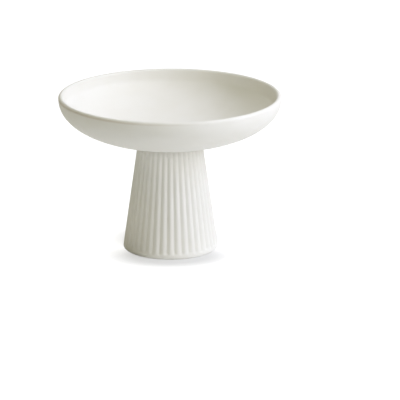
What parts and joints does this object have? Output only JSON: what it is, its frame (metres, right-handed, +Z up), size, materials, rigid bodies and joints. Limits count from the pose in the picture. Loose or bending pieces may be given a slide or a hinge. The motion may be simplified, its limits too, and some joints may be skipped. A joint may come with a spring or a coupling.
{
  "type": "footed dessert bowl",
  "caption": "Shallow round ceramic bowl joined with slip to a tall, tapered, hollow fluted pedestal, for serving a dessert, fruit or sweets.",
  "frame": {"origin": "on the standing surface, at the centre of the foot ring", "axes": "+Z up along the common axis of the bowl and the pedestal, -Y to the front, where a ridge between two flutes is centred"},
  "size_m": [0.148, 0.148, 0.105],
  "materials": {
    "glazed_clay": "matt to satin warm off-white glaze, bare clay under the foot ring",
    "joining_slip": "bare fired slip, dull"
  },
  "bodies": {
    "root": {"bowl": "glazed_clay", "slip_joint": "joining_slip", "pedestal": "glazed_clay"}
  },
  "joints": []
}
